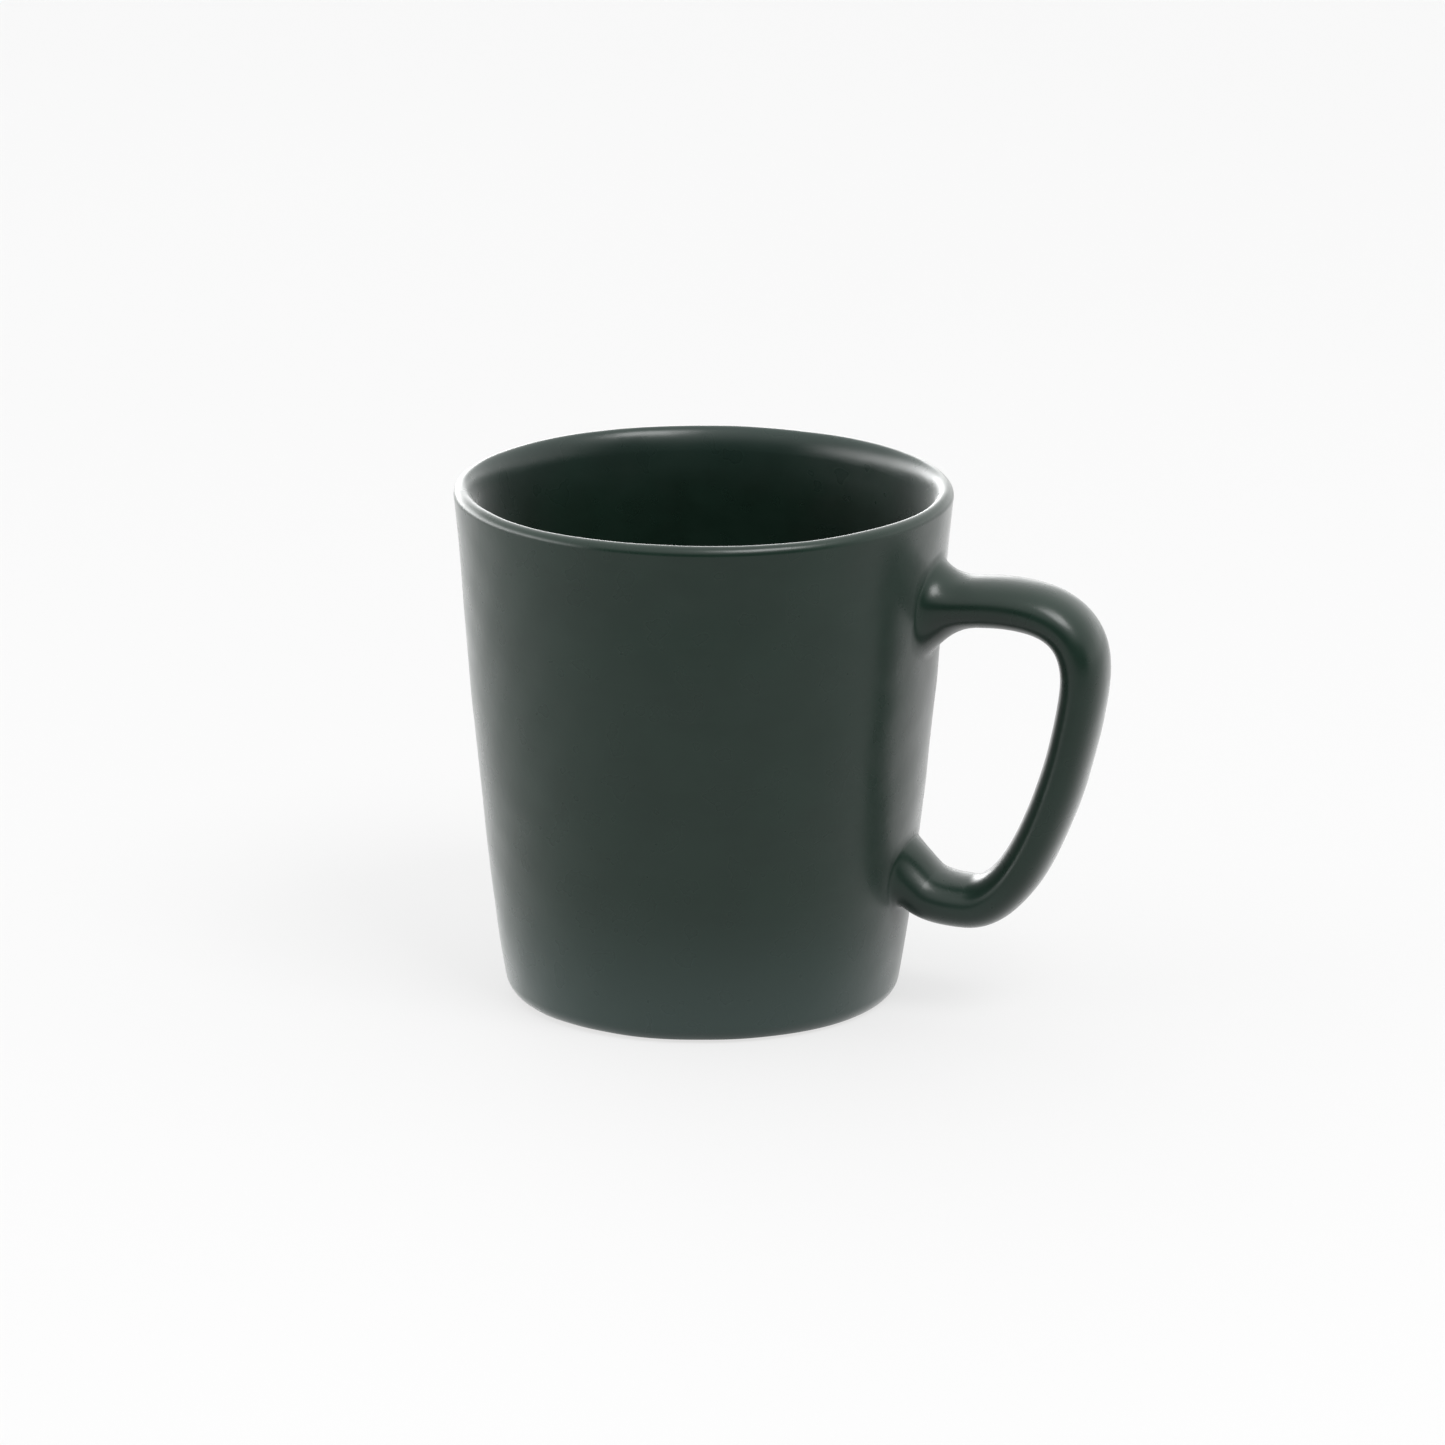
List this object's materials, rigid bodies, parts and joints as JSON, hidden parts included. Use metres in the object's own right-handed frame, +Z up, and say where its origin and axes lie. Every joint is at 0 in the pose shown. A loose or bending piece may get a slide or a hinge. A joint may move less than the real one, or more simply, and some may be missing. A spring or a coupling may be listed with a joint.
{
  "type": "ceramic mug",
  "caption": "Tapered stoneware mug with a rounded lip, an ear-shaped handle on slip joints and a dark satin glaze.",
  "frame": {"origin": "centre of the foot ring, on the plane that the mug stands on", "axes": "+Z up the cup's axis, +X from the cup's axis towards the handle, +Y to the left of the handle"},
  "size_m": [0.1181, 0.088, 0.0922],
  "materials": {
    "bare_stoneware": "matte",
    "handle_stoneware": "matte",
    "fired_slip": "matte",
    "liner_glaze": "satin",
    "outside_glaze": "satin"
  },
  "bodies": {
    "root": {"cup_body": "bare_stoneware", "handle": "handle_stoneware", "upper_slip_joint": "fired_slip", "lower_slip_joint": "fired_slip", "glaze_liner": "liner_glaze", "glaze_outside": "outside_glaze", "glaze_handle": "outside_glaze", "glaze_underside": "outside_glaze"}
  },
  "joints": []
}
